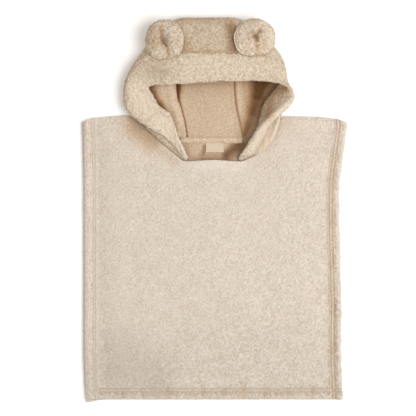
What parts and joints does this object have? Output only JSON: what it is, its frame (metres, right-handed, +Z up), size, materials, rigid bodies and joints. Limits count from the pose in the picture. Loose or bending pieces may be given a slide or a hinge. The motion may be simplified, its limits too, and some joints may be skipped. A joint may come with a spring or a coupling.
{
  "type": "hooded bath poncho",
  "caption": "Child's hooded bath poncho in cream towelling, laid flat with its open hood up: hemmed panels, a folded band round the face opening and stuffed round bear ears.",
  "frame": {"origin": "bottom centre of the bounding box, on the table that the garment lies on", "axes": "+X to the garment's right edge as seen from above, +Y from the bottom hem to the hood, +Z up"},
  "size_m": [0.5587, 0.8139, 0.059],
  "materials": {
    "body": "cream cotton towelling",
    "hood": "cream cotton towelling",
    "band": "cream cotton towelling, folded double",
    "ear": "cream cotton towelling, stuffed",
    "tape": "flat cotton tape",
    "label": "plain woven tape, blank"
  },
  "bodies": {
    "root": {"body_back": "body", "body_front": "body", "hood_centre": "hood", "hood_side_left": "hood", "hood_side_right": "hood", "hood_band": "band", "ear_left": "ear", "ear_right": "ear", "neck_tape": "tape", "label": "label"}
  },
  "joints": []
}
